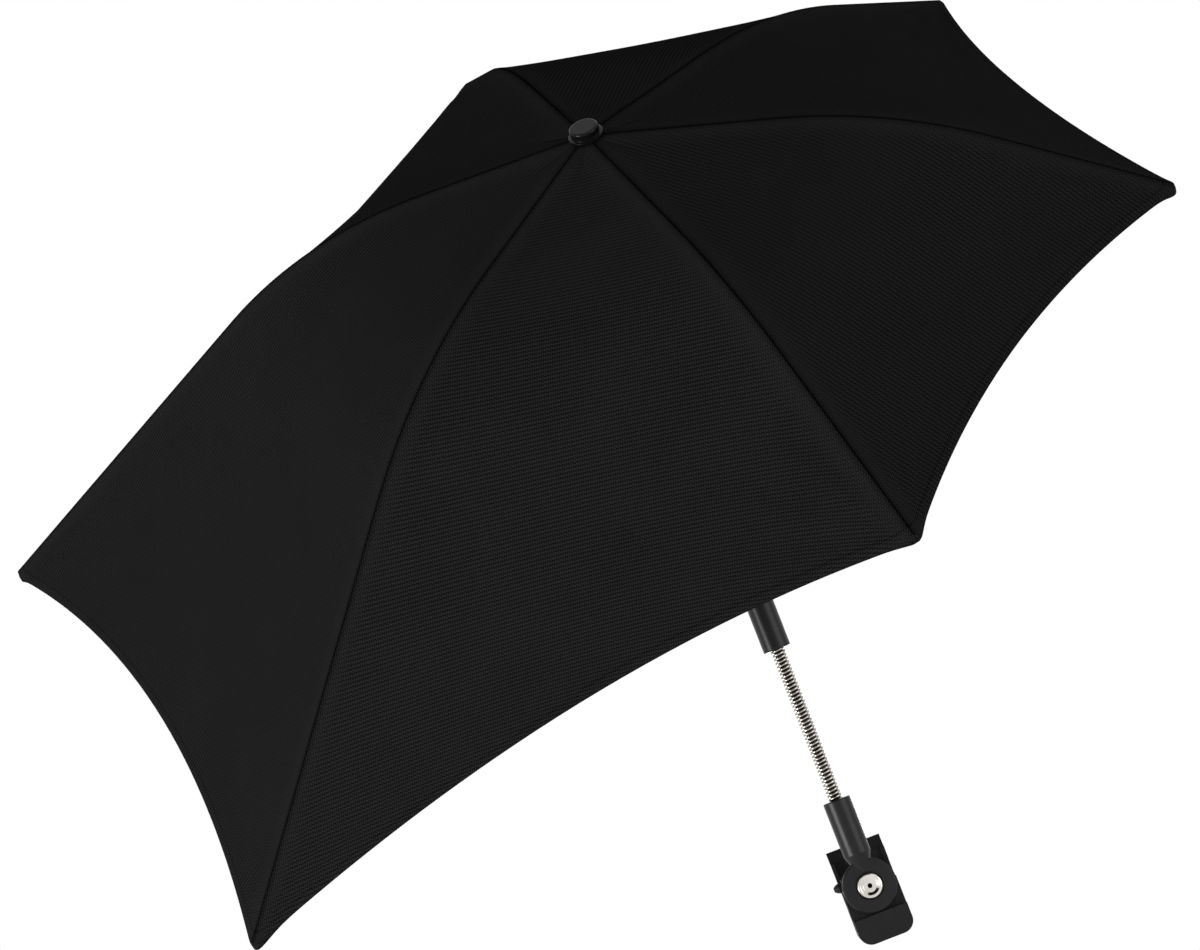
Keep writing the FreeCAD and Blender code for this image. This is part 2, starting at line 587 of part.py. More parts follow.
def slotted(name, body, slot_z, slot_h, ring_z, hub_r=None):
    """Cuts six slots and the channel of the pivot ring in a turned hub, outside a radius if one is given."""
    room = d.ring_wire / 2 + d.ring_clear
    inner, outer = d.notch_r - room, d.notch_r + room
    tools = [turned(name + "_channel", [
        (inner, ring_z - room), (outer, ring_z - room), (outer, ring_z + room), (inner, ring_z + room)])]
    for i, heading in enumerate(HEADINGS, 1):
        slot = box(f"{name}_slot_{i}", d.notch_out * 2, d.slot_w, slot_h, (0, -d.slot_w / 2, slot_z))
        slot.Placement = spin((0, 0, 1), heading) * slot.Placement
        for axis in "xyz":
            slot.setExpression(f"Placement.Base.{axis}", None)
        tools.append(slot)
    cuts = fuse(name + "_cuts", *tools)
    if hub_r:
        hub = cylinder(name + "_hub", hub_r, slot_h * 2, (0, 0, slot_z - slot_h / 2))
        cuts = cut(name + "_cuts_outside", cuts, hub)
    return cut(name, body, cuts)


notch = turned("notch_body", [
    (d.shaft_r + d.shaft_fit, -notch_top - d.notch_h), (d.notch_out - d.notch_foot, -notch_top - d.notch_h),
    (d.notch_out, -notch_top - d.notch_h + d.notch_foot), (d.notch_out, -notch_top),
    (d.shaft_r + d.shaft_fit, -notch_top)])
keep("notch", slotted("notch", notch, -notch_top - d.notch_h * 1.2, d.notch_h * 1.4, -rib_drop,
                      d.shaft_r + d.hub_wall), canopy)
keep("notch_ring", torus("notch_ring", d.notch_r, d.ring_wire / 2), canopy * move(0, 0, -rib_drop.v))

# Ribs and stretchers. A stretcher is as long as the run from the notch to its rivet on the rib, so the runner
# slides straight along the shaft as the ribs fold.
bow = (d.joint_at - d.rib_straight) / d.rib_bow * (180 / math.pi)
joint_x = d.rib_straight + d.rib_bow * sine(bow)
joint_z = d.rib_bow * (1 - cosine(bow))
reach = Size(math.hypot(joint_x.v, joint_z.v), f"sqrt({joint_x.t} * {joint_x.t} + {joint_z.t} * {joint_z.t})")
pitch = d.rib_slope.v + math.degrees(math.atan2(joint_z.v, joint_x.v))
runner_drop = rib_drop.v + 2 * reach.v * math.sin(math.radians(pitch))


def rib_end(kind):
    """End of a rib's bow and of its middle line, in its own frame, and its last slope."""
    length, bend = RUN[kind]
    tail = length - d.rib_straight - d.rib_bow * radian(bend)
    x = d.rib_straight + d.rib_bow * sine(bend)
    z = d.rib_bow * (1 - cosine(bend))
    return x, z, x + tail * cosine(bend), z + tail * sine(bend), bend


def rib(name, kind, placement):
    bx, bz, ex, ez, bend = rib_end(kind)
    body = doc.addObject("PartDesign::Body", name)
    path = body.newObject("Sketcher::SketchObject", name + "_path")
    path.AttachmentSupport = [(plane_of(body, "XZ_Plane"), "")]
    path.MapMode = "FlatFace"
    a, b = Vector(d.tongue_len.v / 2, 0, 0), Vector(d.rib_straight.v, 0, 0)
    path.addGeometry(Part.LineSegment(a, b), False)
    top = math.pi / 2
    circle = Part.Circle(Vector(d.rib_straight.v, -d.rib_bow.v, 0), Vector(0, 0, 1), d.rib_bow.v)
    path.addGeometry(Part.ArcOfCircle(circle, top - math.radians(bend.v), top), False)
    path.addGeometry(Part.LineSegment(Vector(bx.v, -bz.v, 0), Vector(ex.v, -ez.v, 0)), False)
    C = Sketcher.Constraint
    path.addConstraint(C("Coincident", 0, 2, 1, 2))
    path.addConstraint(C("Coincident", 1, 1, 2, 1))
    for kind, g, p, size in (("DistanceX", 0, 1, d.tongue_len / 2), ("DistanceY", 0, 1, 0),
                             ("DistanceX", 0, 2, d.rib_straight), ("DistanceY", 0, 2, 0),
                             ("DistanceX", 1, 3, d.rib_straight), ("DistanceY", 1, 3, -d.rib_bow),
                             ("DistanceX", 2, 1, bx), ("DistanceX", 2, 2, ex), ("DistanceY", 2, 2, -ez)):
        k = path.addConstraint(C(kind, -1, 1, g, p, Size.of(size).v))
        if isinstance(size, Size):
            path.setExpression(f"Constraints[{k}]", size.t)
    w, h, t = d.rib_w / 2, d.rib_h / 2, d.rib_wall
    section = sketch(body, name + "_section", "YZ_Plane", [
        (-w, -h), (t - w, -h), (t - w, h - t), (w - t, h - t), (w - t, -h), (w, -h), (w, h), (-w, h)])
    section.AttachmentOffset = Placement(Vector(0, 0, d.tongue_len.v / 2), Rotation())
    section.setExpression("AttachmentOffset.Base.z", (d.tongue_len / 2).t)
    doc.recompute()
    pipe = body.newObject("PartDesign::AdditivePipe", name + "_channel")
    pipe.Profile = section
    pipe.Spine = (path, ["Edge1", "Edge2", "Edge3"])
    doc.recompute()
    e = d.rib_h / 2
    tongue_out = sketch(body, name + "_tongue", "XZ_Plane", [
        (-e * 0.5, -e), (d.tongue_len, -e), (d.tongue_len, e), (-e * 0.5, e), (-e, e * 0.5), (-e, -e * 0.5)])
    pad = body.newObject("PartDesign::Pad", name + "_eye")
    pad.Profile = tongue_out
    bind(pad, "Length", d.tongue_w)
    pad.SideType = "Symmetric"
    doc.recompute()
    holes = fuse(name + "_holes",
                 cylinder(name + "_ring_hole", d.ring_wire / 2 + d.eye_clear, d.rib_w * 2, (0, -d.rib_w, 0), "y"),
                 cylinder(name + "_rivet_hole", d.joint_r + 0.05, d.rib_w * 2, (joint_x, -d.rib_w, -joint_z), "y"))
    keep(name, cut(name + "_done", body, holes), placement)


def joint_pin(name, placement):
    """The stretcher's rivet: a shank across rib and fork, with a head at each end."""
    half = d.rib_w / 2 + d.fork_gap + d.fork_wall + d.joint_clear
    end = half + d.joint_cap
    keep(name, turned(name, [
        (0, -end), (d.joint_head, -end), (d.joint_head, -half), (d.joint_r, -half), (d.joint_r, half),
        (d.joint_head, half), (d.joint_head, end), (0, end)]), placement)


def stretcher(name, placement):
    fork_y = d.rib_w / 2 + d.fork_gap
    wide = fork_y + d.fork_wall
    h = d.bar_h / 2
    bar = box(name + "_bar", reach - d.fork_in, d.tongue_w, d.bar_h, (d.fork_in, -d.tongue_w / 2, -h))
    eye = cylinder(name + "_eye", h, d.tongue_w, (reach, -d.tongue_w / 2, 0), "y")
    root = box(name + "_root", d.fork_web, wide * 2, d.bar_h, (d.fork_in, -wide, -h))
    solids = [bar, eye, root]
    for side, y0 in (("a", -wide), ("b", fork_y)):
        solids.append(box(f"{name}_cheek_{side}", d.fork_in + d.fork_web / 2, d.fork_wall, d.bar_h, (0, y0, -h)))
        solids.append(cylinder(f"{name}_end_{side}", h, d.fork_wall, (0, y0, 0), "y"))
    holes = fuse(name + "_holes",
                 cylinder(name + "_ring_hole", d.ring_wire / 2 + d.eye_clear, d.bar_h * 2, (reach, -d.bar_h, 0), "y"),
                 cylinder(name + "_rivet_hole", d.joint_r + d.joint_clear, wide * 4, (0, -wide * 2, 0), "y"))
    keep(name, cut(name + "_done", fuse(name + "_solid", *solids), holes), placement)


def shoe(name, placement):
    """The round-ended shoe on a rib's end, open upwards under the cloth."""
    w = d.rib_w / 2 + d.shoe_fit
    h = d.rib_h / 2
    plate = fuse(name + "_plate",
                 cylinder(name + "_nose", d.shoe_r, d.shoe_h, (0, 0, -h - d.shoe_wall)),
                 box(name + "_heel", d.shoe_len, d.shoe_r, d.shoe_h,
                     (-d.shoe_len, -d.shoe_r / 2, -h - d.shoe_wall)))
    groove = box(name + "_groove", d.shoe_len * 2 + shoe_in + d.shoe_fit, w * 2, d.rib_h * 2,
                 (-d.shoe_len * 2, -w, -h - d.shoe_fit))
    keep(name, cut(name + "_done", plate, groove), placement)


shoe_in = d.shoe_r + d.shoe_back - d.cloth_over
for i, (heading, kind) in enumerate(zip(HEADINGS, KINDS), 1):
    plane = canopy * spin((0, 0, 1), heading)
    frame = plane * move(d.notch_r.v, 0, -rib_drop.v) * spin((0, 1, 0), d.rib_slope.v)
    rib(f"rib_{i}", kind, frame)
    bx, bz, ex, ez, bend = rib_end(kind)
    shoe(f"rib_shoe_{i}", frame * move(ex.v, 0, -ez.v) * spin((0, 1, 0), bend.v) * move(-shoe_in.v))
    at_joint = plane * move(d.notch_r.v + reach.v * math.cos(math.radians(pitch)), 0,
                            -rib_drop.v - reach.v * math.sin(math.radians(pitch)))
    joint_pin(f"rib_rivet_{i}", at_joint * spin((1, 0, 0), 90))
    stretcher(f"stretcher_{i}", at_joint * spin((0, 1, 0), 180 - pitch))

runner_foot = -(d.bar_h / 2 + d.slot_under)
runner_top = d.bar_h / 2 + d.runner_over
runner_bore = d.shaft_r + d.runner_clear
runner = turned("runner_body", [
    (runner_bore, runner_foot - d.runner_base), (d.notch_out, runner_foot - d.runner_base), (d.notch_out, runner_top),
    (runner_bore, runner_top)])
on_runner = canopy * move(0, 0, -runner_drop)
keep("runner", slotted("runner", runner, runner_foot, runner_top * 2 - runner_foot, Size(0, "0")), on_runner)
keep("runner_ring", torus("runner_ring", d.notch_r, d.ring_wire / 2), on_runner)


# The six cloth panels. Each is a loft through arcs from rib to rib, hollowed a little between them, with a
# curved hem. Its edges lie just above the ribs on both sides.
def rib_line(kind, s, lift):
    """A point of a rib's middle line at run s, lifted square to it, as radius and height from the cap."""
    bend = RUN[kind][1].v
    straight, radius = d.rib_straight.v, d.rib_bow.v
    turn = min(max((s - straight) / radius, 0.0), math.radians(bend))
    x = min(s, straight) + radius * math.sin(turn)
    z = -radius * (1 - math.cos(turn))
    rest = max(0.0, s - straight - radius * math.radians(bend))
    x += rest * math.cos(turn)
    z -= rest * math.sin(turn)
    x += lift * math.sin(turn)
    z += lift * math.cos(turn)
    slope = math.radians(d.rib_slope.v)
    return (d.notch_r.v + x * math.cos(slope) + z * math.sin(slope),
            -rib_drop.v - x * math.sin(slope) + z * math.cos(slope))


def panel_point(i, share, right):
    """A point of the cloth's underside on the edge of rib i, share of the way to its end."""
    k = i % 6
    length, bend = (size.v for size in RUN[KINDS[k]])
    first = (d.cloth_in.v - d.notch_r.v) / math.cos(math.radians(d.rib_slope.v))
    s = first + (length + d.cloth_over.v - first) * share
    bent = min(max(math.degrees((s - d.rib_straight.v) / d.rib_bow.v), 0.0), bend)
    ridge = d.cloth_ridge.v * d.rib_w.v / 2 * math.sin(math.radians(d.rib_slope.v + bent))
    r, z = rib_line(KINDS[k], s, d.rib_h.v / 2 + d.cloth_gap.v + ridge)
    a = math.radians(HEADINGS[k])
    off = d.seam_gap.v / 2 * (1 if right else -1)
    return Vector(r * math.cos(a) - off * math.sin(a), r * math.sin(a) + off * math.cos(a), z)


STATIONS = [k / 18 for k in range(19)]
LEAST_SAG = 0.002
for i in range(6):
    arcs = []
    for t in STATIONS:
        left, right = panel_point(i, t, True), panel_point(i + 1, t, False)
        inner = t * (1 - d.hem_in.v * t * t)
        a, b = panel_point(i, inner, True), panel_point(i + 1, inner, False)
        mid = (a + b) * 0.5
        mid = mid - Vector(0, 0, 1) * (d.cloth_sag.v * (b - a).Length + LEAST_SAG)
        arcs.append(Part.Wire([Part.Arc(left, mid, right).toShape()]))
    under = Part.makeLoft(arcs, False, False)
    solid = under.extrude(Vector(0, 0, d.cloth.v))
    solid = solid if solid.ShapeType == "Solid" else solid.Solids[0]
    if solid.Volume < 0:
        solid.reverse()
    feature(f"canopy_panel_{i + 1}", solid, canopy)

doc.recompute()
for o in doc.Objects:
    if "Invalid" in o.State or "Error" in o.State:
        raise RuntimeError(f"{o.Name} failed: {o.State}")
for name, o in parts.items():
    shape = o.Shape
    if shape.isNull() or not shape.isValid() or len(shape.Solids) != 1:
        raise RuntimeError(f"{name} is not one valid solid: {len(shape.Solids)} solids, valid {shape.isValid()}")
os.makedirs("parts", exist_ok=True)
for name, o in parts.items():
    o.Shape.exportStep(f"parts/{name}.step")
print(f"{len(parts)} pieces, runner pivot {runner_drop:.3f} below the canopy's top, stretcher {reach.v:.3f}, "
      f"pitch {pitch:.4f}, hinge at {hinge_z.v:.2f}, stem axis at {stem_y.v:.2f}")
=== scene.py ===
# %% [markdown]
# # A pram parasol
#
# A black canopy on six folding ribs leans over a short shaft, which tilts on a riveted knuckle. A coiled
# steel gooseneck joins that knuckle to a second one, on a sprung clamp. The hard pieces come from the
# imported model as they are. This lesson adds what a solid model leaves plain: the sewn cloth, the wound
# wire, the surfaces, the light and the camera. Lengths are in metres, in the model's own frame.

# %% Load the imported model
import json
import math
from functools import partial

import bpy
from mathutils import Matrix, Vector


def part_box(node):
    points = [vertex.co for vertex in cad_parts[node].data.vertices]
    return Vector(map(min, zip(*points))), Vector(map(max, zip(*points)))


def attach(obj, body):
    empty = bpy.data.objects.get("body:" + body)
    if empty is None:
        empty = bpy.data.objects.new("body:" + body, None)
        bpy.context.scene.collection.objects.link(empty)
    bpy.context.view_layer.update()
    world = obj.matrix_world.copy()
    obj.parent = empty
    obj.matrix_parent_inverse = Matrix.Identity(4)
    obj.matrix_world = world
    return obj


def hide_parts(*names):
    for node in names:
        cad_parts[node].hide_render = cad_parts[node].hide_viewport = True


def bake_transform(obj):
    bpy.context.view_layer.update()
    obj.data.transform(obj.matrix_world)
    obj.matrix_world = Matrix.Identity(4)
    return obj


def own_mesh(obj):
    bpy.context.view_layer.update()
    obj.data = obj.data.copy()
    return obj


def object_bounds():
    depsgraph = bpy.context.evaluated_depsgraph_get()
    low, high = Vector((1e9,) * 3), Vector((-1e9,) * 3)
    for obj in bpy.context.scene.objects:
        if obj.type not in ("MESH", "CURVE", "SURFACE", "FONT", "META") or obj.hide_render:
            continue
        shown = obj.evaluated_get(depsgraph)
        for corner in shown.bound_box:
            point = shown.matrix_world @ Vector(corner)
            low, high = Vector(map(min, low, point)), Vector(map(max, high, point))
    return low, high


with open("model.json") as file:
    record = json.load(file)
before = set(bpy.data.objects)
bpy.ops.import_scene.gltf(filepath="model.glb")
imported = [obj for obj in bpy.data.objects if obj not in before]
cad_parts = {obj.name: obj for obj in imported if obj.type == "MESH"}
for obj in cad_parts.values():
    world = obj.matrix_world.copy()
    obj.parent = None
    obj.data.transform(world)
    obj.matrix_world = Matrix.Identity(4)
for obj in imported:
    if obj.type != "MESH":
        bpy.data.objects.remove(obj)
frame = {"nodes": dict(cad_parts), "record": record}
cad_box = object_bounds()
NODES = frame["nodes"]
JOINTS = {j["name"]: j for j in frame["record"]["behaviour"]["joints"]}
SCENE = bpy.context.scene
MM = 0.001
print(len(NODES), "pieces and", len(JOINTS), "joints loaded")

# %% [markdown]
# ## Where the canopy stands
#
# On the real parasol six ribs hinge on a wire ring round the shaft. The canopy's lean could be typed in
# again here, but then it could drift from the solids. So the ring's centre and the six hinges, which the
# model already knows, give the way each rib runs and the shaft's own up.

# %% Hub, headings and up
COUNT = 6
PIVOTS = [Vector(JOINTS[f"fold_{i}" if i > 1 else "fold"]["pos_m"]) for i in range(1, COUNT + 1)]
RING_LOW, RING_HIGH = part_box("notch_ring")
HUB = (RING_LOW + RING_HIGH) / 2
OUT = [(p - HUB).normalized() for p in PIVOTS]
UP = OUT[0].cross(OUT[1]).normalized()
PIVOT_R = (PIVOTS[0] - HUB).length
print("the canopy leans", round(math.degrees(UP.angle(Vector((0, 0, 1)))), 1), "degrees from upright")

# %% [markdown]
# ## The ribs' run
#
# Each rib is a steel channel: straight from its hinge, then bowed, then straight to its tip. The two at
# the front are long and the four others short, which gives the canopy its peak. The cloth lies on the
# ribs, so it needs the same curve. Reading it off the rib's mesh would give ragged points. Three lengths
# and two angles give it exactly.

# %% A point over a rib
RIB_SLOPE = math.radians(9.0)
RIB_STRAIGHT = 105 * MM
RIB_BOW = 330 * MM
FRONT_RIB = (531 * MM, math.radians(27.9))
SIDE_RIB = (360 * MM, math.radians(20.7))
REAR_RIB = (352 * MM, math.radians(23.3))
RIBS = [FRONT_RIB, SIDE_RIB, REAR_RIB, REAR_RIB, SIDE_RIB, FRONT_RIB]


def rib_turn(i, s):
    """How far rib i has turned down at run s from its hinge."""
    return min(max((s - RIB_STRAIGHT) / RIB_BOW, 0.0), RIBS[i % COUNT][1])


def rib_point(i, s, lift, slope=RIB_SLOPE):
    """A point over rib i at run s from its hinge, lifted square to the rib."""
    bend = RIBS[i % COUNT][1]
    turn = rib_turn(i, s)
    rest = max(0.0, s - RIB_STRAIGHT - RIB_BOW * bend)
    x = min(s, RIB_STRAIGHT) + (RIB_BOW + lift) * math.sin(turn) + rest * math.cos(turn)
    z = (RIB_BOW + lift) * math.cos(turn) - RIB_BOW - rest * math.sin(turn)
    r = x * math.cos(slope) + z * math.sin(slope)
    h = z * math.cos(slope) - x * math.sin(slope)
    return HUB + OUT[i % COUNT] * (PIVOT_R + r) + UP * h


print("ribs, mm:", [round(length / MM) for length, bend in RIBS])

# %% [markdown]
# ## One helper for every surface
#
# A material is a tree of nodes. Blender's own calls take three lines a node, so one small function adds a
# node, sets it up and wires its inputs. Colours are written as they look on a screen, and turned to the
# linear values that the renderer works in.

# %% Colours and nodes
def linear(hex_colour):
    """An sRGB hex colour as linear RGBA."""
    parts = [int(hex_colour[k:k + 2], 16) / 255 for k in (1, 3, 5)]
    return [c / 12.92 if c <= 0.04045 else ((c + 0.055) / 1.055) ** 2.4 for c in parts] + [1.0]


def add(tree, kind, inputs=None, **settings):
    """Adds one node. An input takes a value, a socket, or a node, which gives its first output in use."""
    node = tree.nodes.new(kind)
    for key, value in settings.items():
        setattr(node, key, value)
    for key, value in (inputs or {}).items():
        if isinstance(value, bpy.types.Node):
            value = next(out for out in value.outputs if not out.is_unavailable)
        if isinstance(value, bpy.types.NodeSocket):
            tree.links.new(value, node.inputs[key])
        else:
            node.inputs[key].default_value = value
    return node


def empty_material(name):
    """A new material, and the helper bound to its empty tree."""
    material = bpy.data.materials.new(name)
    material.use_nodes = True
    material.node_tree.nodes.clear()
    return material, partial(add, material.node_tree)


print("mid grey #808080 is", round(linear("#808080")[0], 3), "in linear light")

# %% [markdown]
# ## Seams and hem
#
# Sewn cloth shows its sewing. Beside a seam it is pressed flat, and that band is drawn a little lighter as
# a painted highlight. The edges folded inside raise a welt, with painted shade along it, the thread pulls
# in a line drawn dark as painted shade in its groove, and one more such line runs along the hem. A thread
# is far finer than the cloth's mesh, so modelling it would cost a great many faces. Instead the mesh
# carries two distances, to its seam and to its hem, and nodes draw each mark at its own width.

# %% Marks of the sewing
STITCH = 0.9 * MM
WELT = 5 * MM
PRESSED = 18 * MM
HEM_STITCH = 6.5 * MM


def sewn_layers(node):
    """Masks from 0 to 1: pressed cloth, drawn lighter, then welt, stitches and hem line, each with painted
    shade.
    """
    seam = node("ShaderNodeAttribute", attribute_name="seam_m").outputs["Fac"]
    hem = node("ShaderNodeAttribute", attribute_name="hem_m").outputs["Fac"]
    pressed_and_lightened, welt_and_shade, stitch_and_shade = (
        node("ShaderNodeMapRange", {"Value": seam, "From Max": reach, "To Min": 1.0, "To Max": 0.0})
        for reach in (PRESSED, WELT, STITCH))
    hem_line_and_shade = node("ShaderNodeMath", {0: hem, 1: HEM_STITCH, 2: STITCH}, operation="COMPARE")
    return pressed_and_lightened, welt_and_shade, stitch_and_shade, hem_line_and_shade


print("marks reach, mm:", [round(reach / MM, 1) for reach in (STITCH, WELT, PRESSED)])

# %% [markdown]
# ## Rib weave
#
# The canopy is woven from black polyester. Its short floats lie in rows like bricks, each row shifted by
# half a float, and broad ribs run through it. The ribs of such a cloth are near 1 mm apart, too fine to
# show from here, so they are drawn at 3 mm. A picture of cloth could give all this, but would tie the
# parasol to one picture. Nodes give it in real sizes.

# %% The weave
FLOAT_LENGTH = 2.6 * MM
ROW_PITCH = 1.5 * MM
FLOAT_GAP = 0.4 * MM
BRICK_UNIT = 4 * MM
RIB_PITCH = 3 * MM
# Pressed cloth keeps its ribs flat at this value, above their mean, which paints the band beside each seam
# lighter: a painted highlight.
FLAT_RIB_LIGHTER = 0.8
FIBRE = 0.625 * MM
DYE_PATCH = 71.43 * MM
# A wave texture of scale 1 repeats at this length.
WAVE_REPEAT = math.pi / 10


def woven_layers(node, pressed_and_lightened):
    """Gaps between floats, ribs, fibre and uneven dye, each from 0 to 1. Pressed cloth has flat ribs, set
    a little lighter as a painted highlight.
    """
    place = node("ShaderNodeUVMap", uv_map="cloth")
    gaps = node("ShaderNodeTexBrick", {
        "Vector": place, "Scale": 1 / BRICK_UNIT, "Brick Width": FLOAT_LENGTH / BRICK_UNIT,
        "Row Height": ROW_PITCH / BRICK_UNIT, "Mortar Size": FLOAT_GAP / BRICK_UNIT,
        "Mortar Smooth": 1.0}).outputs["Fac"]
    wave = node("ShaderNodeTexWave", {"Vector": place, "Scale": WAVE_REPEAT / RIB_PITCH}).outputs["Fac"]
    ribs = node("ShaderNodeMix", {"Factor": pressed_and_lightened, "A": wave, "B": FLAT_RIB_LIGHTER})
    fibre = node("ShaderNodeTexNoise", {"Vector": place, "Scale": 1 / FIBRE, "Detail": 2.0})
    dye = node("ShaderNodeTexNoise", {"Vector": place, "Scale": 1 / DYE_PATCH, "Detail": 3.0})
    return gaps, ribs, fibre, dye


print("weave: ribs", round(RIB_PITCH / MM, 1), "mm apart, rows", round(ROW_PITCH / MM, 1), "mm apart")

# %% [markdown]
# ## Matt black cloth
#
# Black polyester gives the eye a tone that changes a little from float to gap, and the fine shadows of
# its relief. Two sets of nodes could draw the two, but then they could slip apart. So each layer of the
# weave and the sewing adds its share to one tone, between two near blacks, and its height to one bump.
# The cloth has no gloss at all: at this tone even a weak one would mirror the white room and turn the far
# panels grey.

# %% The cloth
PLAIN_TONE = 0.12


def black_cloth():
    """Woven polyester: layers of weave and sewing with their share of the tone and their relief in mm."""
    material, node = empty_material("polyester_rib_weave")
    pressed_and_lightened, welt_and_shade, stitch_and_shade, hem_line_and_shade = sewn_layers(node)
    gaps, ribs, fibre, dye = woven_layers(node, pressed_and_lightened)
    tone, height = PLAIN_TONE, 0.0
    # The welt, the stitches and the hem line darken the tone as painted shade; the pressed band's flat
    # ribs lighten it as a painted highlight.
    for layer, shade, relief in (
            (gaps, -0.30, -0.22), (ribs, 0.26, 0.15), (fibre, 0.22, 0.05), (dye, 0.10, 0.0),
            (welt_and_shade, -0.22, 0.4), (stitch_and_shade, -0.30, -0.7), (hem_line_and_shade, -0.08, -0.1)):
        tone = node("ShaderNodeMath", {0: layer, 1: shade, 2: tone}, operation="MULTIPLY_ADD")
        height = node("ShaderNodeMath", {0: layer, 1: relief * MM, 2: height}, operation="MULTIPLY_ADD")
    colour = node("ShaderNodeMix", {
        "Factor": tone, "A": linear("#060606"), "B": linear("#363636")}, data_type="RGBA")
    bump = node("ShaderNodeBump", {"Height": height, "Distance": 1.0, "Strength": 0.8})
    shader = node("ShaderNodeBsdfPrincipled", {
        "Base Color": colour, "Roughness": 0.95, "Normal": bump, "Specular IOR Level": 0.0})
    node("ShaderNodeOutputMaterial", {"Surface": shader})
    return material


CLOTH = black_cloth()
print(CLOTH.name, "has", len(CLOTH.node_tree.nodes), "nodes")

# %% [markdown]
# ## Moulded plastic, rubber and paint
#
# The clamp and the knuckles are black glass-filled nylon from a spark-eroded mould, the cap is a glossy
# ABS moulding, the pads are rubber, and the shaft and the ribs are painted steel. They differ in how
# rough they are and how coarse their grain is, so one function makes them all. Edges off a mould are
# never sharp. Rounding every edge of the mesh would be heavy, so the shader's Bevel bends the light there
# as a small round would.

# %% A black skin
BLOTCH = 22.222 * MM
UNEVEN_SKIN = 0.12


def black_finish(name, dark, light, rough, grain, relief, edge, level):
    """A black skin with a grain of the given size and depth, soft edges and a specular level."""
    material, node = empty_material(name)
    place = node("ShaderNodeTexCoord").outputs["Object"]
    fine = node("ShaderNodeTexNoise", {"Vector": place, "Scale": 1 / grain, "Detail": 2.0})
    broad = node("ShaderNodeTexNoise", {"Vector": place, "Scale": 1 / BLOTCH, "Detail": 4.0})
    colour = node("ShaderNodeMix", {
        "Factor": broad, "A": linear(dark), "B": linear(light)}, data_type="RGBA")
    uneven = node("ShaderNodeMath", {
        0: broad, 1: UNEVEN_SKIN, 2: rough - UNEVEN_SKIN / 2}, operation="MULTIPLY_ADD")
    soft = node("ShaderNodeBevel", {"Radius": edge}, samples=4)
    bump = node("ShaderNodeBump", {"Height": fine, "Distance": relief, "Strength": 0.7, "Normal": soft})
    shader = node("ShaderNodeBsdfPrincipled", {
        "Base Color": colour, "Roughness": uneven, "Normal": bump, "Specular IOR Level": level})
    node("ShaderNodeOutputMaterial", {"Surface": shader})
    return material


print("skins are uneven over", round(BLOTCH / MM), "mm")

# %% Seven black finishes
# Off a polished mould: the cap's brim mirrors the room in a thin line.
CAP_GLOSS = black_finish("abs_moulded_gloss", "#070708", "#111112", rough=0.14, grain=0.5 * MM,
                         relief=0.004 * MM, edge=0.5 * MM, level=0.1)
# Off a finely eroded mould: a soft streak along each sleeve.
KNUCKLE_SATIN = black_finish("nylon_moulded_satin", "#121212", "#1d1d1e", rough=0.34, grain=0.5 * MM,
                             relief=0.03 * MM, edge=0.6 * MM, level=0.2)
# Off a coarser mould: flat faces with a faint sparkle.
CLAMP_GRAIN = black_finish("nylon_moulded_grain", "#111111", "#1c1c1c", rough=0.44, grain=0.6 * MM,
                           relief=0.05 * MM, edge=0.5 * MM, level=0.16)
# Slippery and plain: the hubs catch little light.
HUB_SATIN = black_finish("acetal_moulded_satin", "#101010", "#1b1b1b", rough=0.42, grain=0.5 * MM,
                         relief=0.03 * MM, edge=0.35 * MM, level=0.16)
# Dull and a shade lighter, with a grain that a finger feels.
PAD_RUBBER = black_finish("rubber_moulded_matt", "#141414", "#1f1f1f", rough=0.8, grain=0.9 * MM,
                          relief=0.08 * MM, edge=0.35 * MM, level=0.16)
# Smooth paint on a tube: one long highlight.
SHAFT_PAINT = black_finish("steel_painted_smooth", "#0c0c0d", "#171718", rough=0.3, grain=0.4 * MM,
                           relief=0.01 * MM, edge=0.35 * MM, level=0.16)
# Thin paint on folded strip: crisp edges that still catch the light.
RIB_PAINT = black_finish("steel_painted_thin", "#0e0e0f", "#1a1a1b", rough=0.34, grain=0.4 * MM,
                         relief=0.015 * MM, edge=0.15 * MM, level=0.16)
print("seven black finishes, from gloss to rubber")

# %% [markdown]
# ## Bright steel
#
# The gooseneck is drawn spring steel with a nickel flash, the rivets are polished and plated, and the core
# under the coil is coloured near black as painted shade. Metal shows what is around it, so most of its
# look comes from the white studio. What nodes add is the faint marks of drawing, and painted shade: a near
# black that darkens the gaps between the turns and the hollows of the rivets. A shade mask painted on the
# mesh would stay behind when the coil bends. Ambient Occlusion finds those gaps whichever way it is bent.

# %% A drawn metal
MARK_WIDTH = 1.1111 * MM
MARK_LENGTH = 8.3333 * MM
UNEVEN_POLISH = 0.16
GAP_REACH = 2.5 * MM


